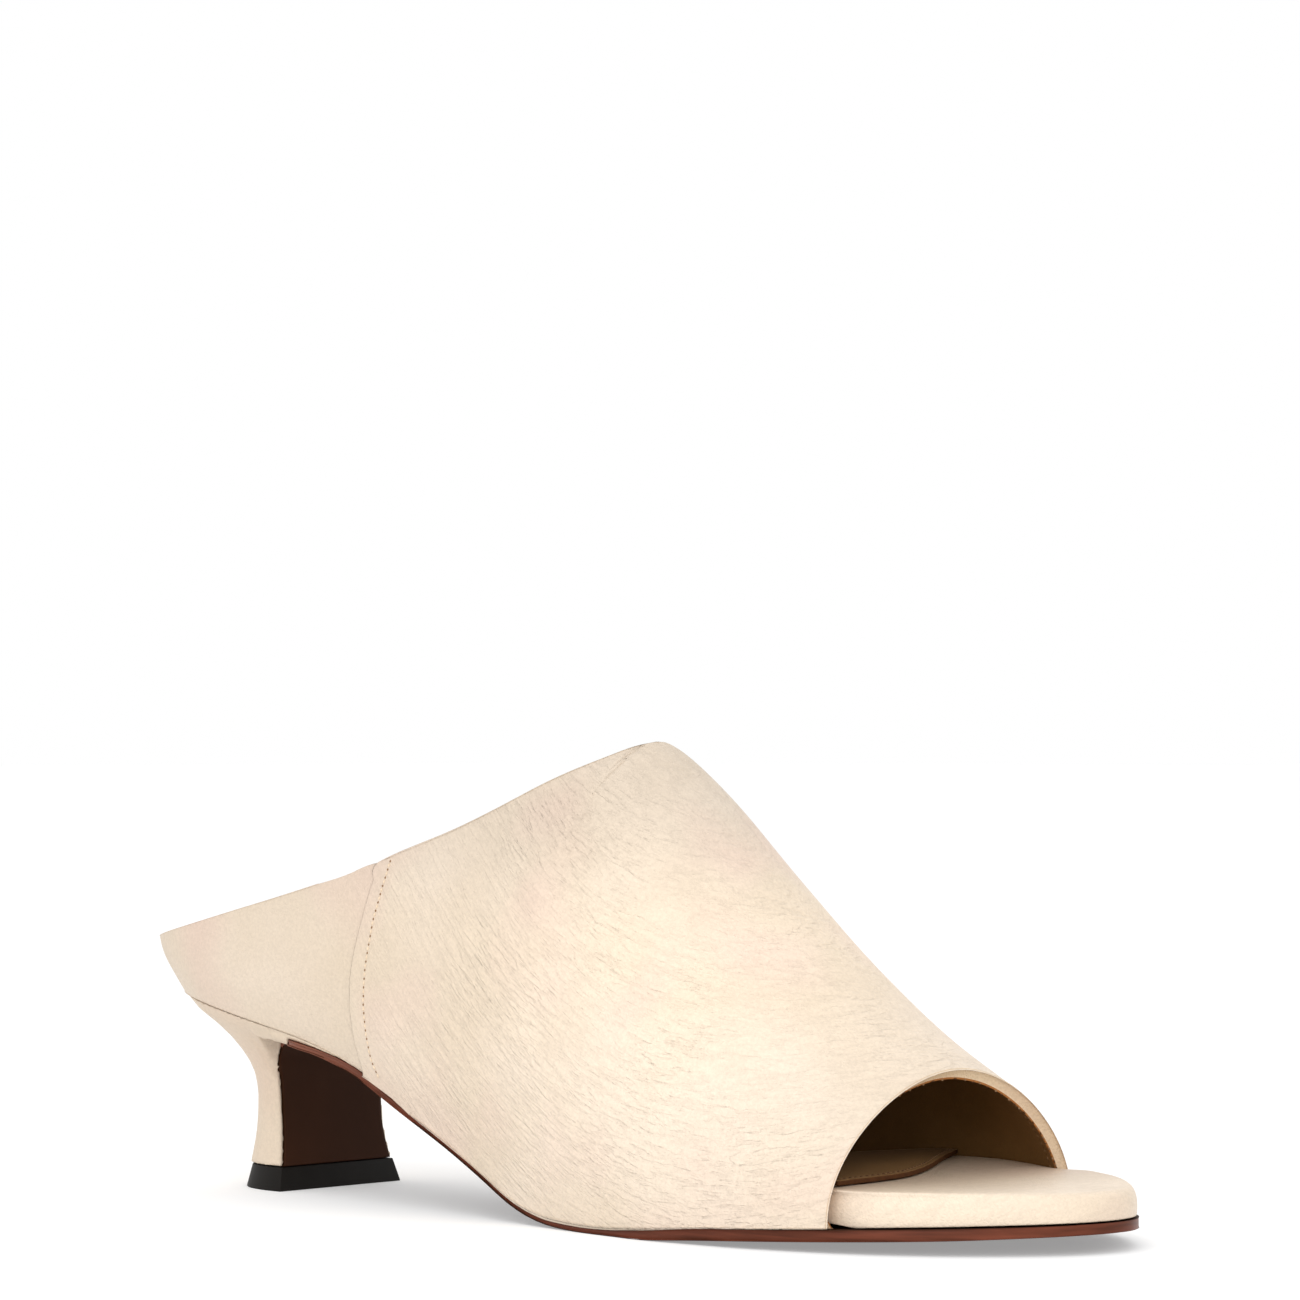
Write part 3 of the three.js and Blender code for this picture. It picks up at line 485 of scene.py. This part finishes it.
rounded(shape, sharp_edges(shape, 60), WRAP_ROUNDING)
footbed = object_of(shape, "footbed_wrap", (footbed_leather,), finer=2)
# painted shade: the top is darkened from 232 mm back to 198 mm along the shoe
shade = footbed.data.attributes.new("painted_shade_top", "FLOAT", "POINT")
lifts = [vertex.normal.z for vertex in footbed.data.vertices]
for index, vertex in enumerate(footbed.data.vertices):
    shade.data[index].value = share(place(*vertex.co).x, 232, 198) * share(lifts[index], 0.75, 0.95)
tree = footbed_leather.node_tree
shader = tree.nodes["Principled BSDF"]
under = shader.inputs["Base Color"].links[0].from_socket
painted_shade_top = node(tree, "Attribute", attribute_name="painted_shade_top", attribute_type="GEOMETRY")
top_with_painted_shade = node(tree, "Mix", [(0, painted_shade_top.outputs["Fac"]), (6, under)], data_type="RGBA", blend_type="MULTIPLY")
top_with_painted_shade.inputs[7].default_value = linear("#ddd7d1")
tree.links.new(top_with_painted_shade.outputs[2], shader.inputs["Base Color"])
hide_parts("footbed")
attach(footbed, "root")


# Sock lining: thin olive-brown leather glued on the footbed and trimmed to the lining of the upper.
# Its front edge is cut in a curve behind the toe opening and stitched.
SOCK_ROUNDING = 0.3
SOCK_STITCHES_IN = Vector((-0.0015, 0, 0.0002))
TRIM = 0.35
WIDEST_GAP = 12
# Smooth finished leather, matt, with faint clouds of olive and brown
sock_leather, tree, shader, coords = finish_of(
    "sock_leather_olive_brown", Roughness=0.6, Specular_IOR_Level=0.2,
)
clouded(tree, shader, coords, 22.2, 3.0, "#6b4e2e", "#83623c")
embossed(tree, shader, grain_of(tree, coords, 0.6), 0.03)
# Cut and dyed edge, dull and dark, which outlines the sock
cut_edge, tree, shader, coords = finish_of("cut_sock_edge_dark_brown", Roughness=0.8, Specular_IOR_Level=0.1)
clouded(tree, shader, coords, 1.11, 2.0, "#3a200f", "#573519")


def surface_of(piece):
    """The piece's surface, for rays and nearest points."""
    return BVHTree.FromPolygons(
        [vertex.co for vertex in piece.data.vertices], [face.vertices for face in piece.data.polygons],
    )


shape = shape_of("sock_lining")
front = [
    edge for edge in sharp_edges(shape, 50)
    if place(*edge.verts[0].co).x > 140
    and max(face.normal.z for face in edge.link_faces) > 0.7
    and max(face.normal.x for face in edge.link_faces) > 0.35
]
sock_row = sorted(
    (vertex.co + SOCK_STITCHES_IN for vertex in {v for e in front for v in e.verts}),
    key=lambda point: point.y,
)
# Behind the toe opening its edge is pushed out to the lining of the upper, round the heel as well
straight = [
    edge for edge in sharp_edges(shape, 60)
    if edge.calc_length() > 0.004 and max(place(*vertex.co).x for vertex in edge.verts) < 9
]
bmesh.ops.subdivide_edges(shape, edges=straight, cuts=5)
upper_skin = surface_of(upper)
for vertex in {vertex for edge in sharp_edges(shape, 60) for vertex in edge.verts}:
    at = place(*vertex.co)
    way = Vector((min(at.x - 40, 0), at.y, 0)).normalized()
    gap = upper_skin.ray_cast(vertex.co, way)[3]
    if gap and gap < WIDEST_GAP / 1000:
        vertex.co += way * max(gap - TRIM / 1000, 0) * share(at.x, 150, 125)
rounded(shape, sharp_edges(shape, 60), SOCK_ROUNDING)
sock = object_of(shape, "sock_leather", (sock_leather, cut_edge), finer=1)
for face in sock.data.polygons:
    if face.normal.z < 0.7:
        face.material_index = 1
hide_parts("sock_lining")
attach(sock, "root")


# Outsole: a leather sole cut to the last, its edge dyed and burnished brown, its underside and the
# breast of the heel painted nearly black-brown. It is glued on under the upper and the footbed.
SOLE_ROUNDING = 0.25
BREAST_WIDER = 0.25
# Burnished leather edge, half glossy, red-brown with streaks along it, rubbed paler in the waist
edge_finish, tree, shader, coords = finish_of(
    "burnished_sole_edge_brown", Specular_IOR_Level=0.14, Roughness=0.38,
)
streak = node(tree, "Mapping", [("Vector", coords)])
streak.inputs["Scale"].default_value = (60, 60, 900)
layers = node(tree, "TexNoise", [("Vector", streak.outputs[0])], Scale=1.0, Detail=3.0)
brown = node(tree, "ValToRGB", [("Fac", layers.outputs["Fac"])])
brown.color_ramp.elements[0].position = 0.3
brown.color_ramp.elements[0].color = linear("#4e2616")
brown.color_ramp.elements[1].position = 0.7
brown.color_ramp.elements[1].color = linear("#763d2a")
apart = node(tree, "SeparateXYZ", [(0, coords)])
waist = node(
    tree, "MapRange", [(0, apart.outputs[0])], From_Min=-0.075, From_Max=-0.03, To_Min=1.0, To_Max=0.0,
)
paler = node(tree, "Mix", [(0, waist.outputs[0]), (6, brown.outputs[0])], data_type="RGBA")
paler.inputs[7].default_value = linear("#93604e")
tree.links.new(paler.outputs[2], shader.inputs["Base Color"])
embossed(tree, shader, layers.outputs["Fac"], 0.06)
# Paint on leather, dull, a dark brown with faint scuffs
under_finish, tree, shader, coords = finish_of(
    "painted_sole_leather_dark", Specular_IOR_Level=0.08, Roughness=0.6,
)
clouded(tree, shader, coords, 14.3, 4.0, "#2e180b", "#3d2111")
scuffs = node(tree, "TexNoise", [("Vector", coords)], Scale=1000 / 3.33, Detail=3.0)
embossed(tree, shader, scuffs.outputs["Fac"], 0.04)
shape = shape_of("outsole")
for vertex in shape.verts:
    at = place(*vertex.co)
    if at.x < 42 and at.z < 31.5 and abs(at.y) > 12:
        vertex.co.y += math.copysign(BREAST_WIDER / 1000, vertex.co.y)
rounded(shape, sharp_edges(shape, 50), SOLE_ROUNDING)
outsole = object_of(shape, "outsole_leather", (edge_finish, under_finish), finer=1)
for face in outsole.data.polygons:
    at = place(*face.center)
    # the rims of the sole's edge stay dark where the burnishing wheel doesn't reach
    if face.normal.z < -0.45 or (face.normal.z > 0.45 and at.x > 90) or (at.x < 52 and at.z < 30):
        face.material_index = 1
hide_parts("outsole")
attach(outsole, "root")


# Heel: a moulded block covered in the leather of the upper, pulled tight, so its grain is smoother.
# The cover is pulled in over the back below the seat, and round the front corners of the breast.
HEEL_BACK = ((24, 0.0), (30, 0.4), (36, 0.9), (41.5, 1.5), (46, 0.2))  # height, how far it is pulled in
BREAST_CORNER = (-1.3, 0.9)
LIP_START = 45
# its cream is set darker than the upper's: painted shade on the side of the heel
heel_leather = nappa("nappa_pulled_over_heel", "#dccab4", "#d4c1aa", "#dac0ac", 0.03, 0.0, rough=0.5)
shape = shape_of("heel")
for vertex in shape.verts:
    at = place(*vertex.co)
    for (z0, in0), (z1, in1) in zip(HEEL_BACK, HEEL_BACK[1:]):
        if z0 < at.z <= z1 and at.x < 24:
            vertex.co.x += (in0 + (in1 - in0) * (at.z - z0) / (z1 - z0)) * (24 - at.x) / 24 / 1000
    if at.x > 35.3 and abs(at.y) > 15.9 and 8 < at.z < 34:
        soft = min(1, (34 - at.z) / 4)
        vertex.co += Vector((BREAST_CORNER[0], -math.copysign(BREAST_CORNER[1], at.y), 0)) * soft / 1000
heel = object_of(shape, "heel_cover", (heel_leather,))
even = heel.modifiers.new("even", "REMESH")
even.mode = "VOXEL"
even.voxel_size = 0.0004
even.use_smooth_shade = True
pulled = heel.modifiers.new("pulled", "SMOOTH")
pulled.factor = 0.5
pulled.iterations = 3
settle(heel)
# The lip under the waist is thinner than a voxel, so its own faces are added again
lip = shape_of("heel")
behind = [face for face in lip.faces if place(*face.calc_center_median()).x < LIP_START]
bmesh.ops.delete(lip, geom=behind, context="FACES")
lip_mesh = bpy.data.meshes.new("heel_lip")
lip.to_mesh(lip_mesh)
lip.free()
both = bmesh.new()
both.from_mesh(heel.data)
both.from_mesh(lip_mesh)
both.to_mesh(heel.data)
both.free()
bpy.data.meshes.remove(lip_mesh)
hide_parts("heel")
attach(heel, "root")


# Top lift: a moulded black rubber piece nailed and glued under the heel. The shoe stands on it, and
# its edges are only slightly rounded.
LIFT_ROUNDING = 0.25
# Moulded rubber, a soft sheen on nearly black, with a faintly uneven skin
rubber, tree, shader, coords = finish_of("moulded_rubber_black", Specular_IOR_Level=0.1, Roughness=0.55)
skin = clouded(tree, shader, coords, 5, 3.0, "#141210", "#1f1c19")
embossed(tree, shader, skin, 0.03)
shape = shape_of("top_lift")
bmesh.ops.dissolve_limit(shape, angle_limit=math.radians(3), verts=shape.verts, edges=shape.edges)
rounded(shape, sharp_edges(shape, 50), LIFT_ROUNDING, 3)
lift = object_of(shape, "top_lift_rubber", (rubber,))
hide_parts("top_lift")
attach(lift, "root")


# Stitches: waxed thread in the lap seam, round the toe opening and along the front of the sock lining.
# Each stitch is a short bead half sunk in the leather, with a needle hole before the next one.
STITCH_PITCH = 1.75
NEEDLE_HOLE = (0.32, 0.28, 0.16)
HOLE_DEPTH = 0.06
# Waxed polyester thread, a thin satin line: beige on the cream leather, brown on the lining
thread, tree, shader, coords = finish_of("waxed_thread_beige", Roughness=0.55, IOR=1.5)
clouded(tree, shader, coords, 1.11, 2.0, "#d6bfa3", "#e6d2b8")
dark_thread, tree, shader, coords = finish_of("waxed_thread_brown", Roughness=0.6, Specular_IOR_Level=0.2)
clouded(tree, shader, coords, 1.11, 2.0, "#3c2412", "#5b3a1e")
# Needle holes, dull brown dots between the stitches: painted shade in the holes
needle_hole_shade, tree, shader, coords = finish_of("needle_holes_painted_shade", Roughness=0.9, Specular_IOR_Level=0.1)
shader.inputs["Base Color"].default_value = linear("#8a6c50")


def sewn(name, rows, carrier, yarn, thick=0.45, long=1.05, sunk=0.0):
    """Stitches along rows of points, laid on the surface of the carrier, with a needle hole between."""
    skin = surface_of(carrier)
    beads = bmesh.new()
    for row in rows:
        reached = 0.0
        due = 0.0
        count = 0
        for first, second in zip(row, row[1:]):
            run = second - first
            while due < reached + run.length:
                at, outward, _, _ = skin.find_nearest(first + run * ((due - reached) / run.length))
                forward = (run - outward * run.dot(outward)).normalized()
                stance = Matrix((forward, outward.cross(forward), outward)).transposed().to_4x4()
                is_hole = count % 2
                size = NEEDLE_HOLE if is_hole else (long / 2, thick / 2, thick / 2)
                depth = HOLE_DEPTH if is_hole else sunk
                there = Matrix.Translation(at - outward * depth / 1000)
                made = bmesh.ops.create_uvsphere(
                    beads, u_segments=6, v_segments=5, radius=0.001,
                    matrix=there @ stance @ Matrix.Diagonal((*size, 1)),
                )
                for face in {face for vertex in made["verts"] for face in vertex.link_faces}:
                    face.material_index = is_hole
                    face.smooth = True
                count += 1
                due += STITCH_PITCH / 2000
            reached += run.length
    sewing = object_of(beads, name, (yarn, needle_hole_shade))
    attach(sewing, "root")


# The lap seam runs down both sides, the others once round the opening and the sock lining's front
seams = []
for hand in (-1, 1):
    row = []
    for step in range(46):
        z = 27.0 + step
        at, outward, _, _ = upper_skin.ray_cast(spot(seam_at(z), hand * 90, z), Vector((0, -hand, 0)))
        if at and abs(place(*at).y) > 6 and outward.y * hand > 0:
            row.append(at)
    seams.append(row)
sewn("lap_seam_stitches", seams, upper, thread)
rim_row.sort(key=lambda point: -math.atan2(place(*point).z - 8, place(*point).y))
sewn("toe_opening_stitches", [rim_row], upper, dark_thread, thick=0.26, sunk=0.08)
sewn("sock_edge_stitches", [sock_row], sock, dark_thread, thick=0.3)


# Studio: a white paper sweep under the shoe, a soft white surround, two lamps above and ahead, one
# low fill towards the heel and one behind.
ground = bmesh.new()
bmesh.ops.create_circle(ground, cap_ends=True, segments=64, radius=4.0)
floor_mesh = bpy.data.meshes.new("floor")
ground.to_mesh(floor_mesh)
ground.free()
floor = bpy.data.objects.new("floor", floor_mesh)
bpy.context.collection.objects.link(floor)
# Matt paper, lit through from below, so shadows on it stay pale
paper, tree, shader, coords = finish_of("white_paper_sweep", Roughness=0.9, Specular_IOR_Level=0.1)
shader.inputs["Base Color"].default_value = linear("#dadada")
shader.inputs["Emission Color"].default_value = linear("#ffffff")
shader.inputs["Emission Strength"].default_value = 0.3
floor_mesh.materials.append(paper)

world = bpy.data.worlds.new("surround")
bpy.context.scene.world = world
world.use_nodes = True
sky = world.node_tree.nodes["Background"]
sky.inputs["Color"].default_value = linear("#ffffff")
sky.inputs["Strength"].default_value = 1.0
bpy.context.scene.view_settings.view_transform = "Standard"
bpy.context.scene.view_settings.look = "None"


def lamp(name, at, size, power, towards=AIM):
    """A square soft lamp at that point of the shoe's own sizes."""
    light = bpy.data.lights.new(name, "AREA")
    light.size = size
    light.energy = power
    holder = bpy.data.objects.new(name, light)
    bpy.context.collection.objects.link(holder)
    direction = spot(*towards) - spot(*at)
    towards_it = direction.to_track_quat("-Z", "Y").to_matrix().to_4x4()
    holder.matrix_world = Matrix.Translation(spot(*at)) @ towards_it


lamp("key_above", (250, -600, 950), 0.7, 1.9)
lamp("key_ahead", (900, -520, 520), 0.5, 2.0)
lamp("fill_low", (430, -640, 70), 0.5, 1.0, (40, -15, 30))
lamp("rim_behind", (-350, 650, 900), 1.0, 1.2)
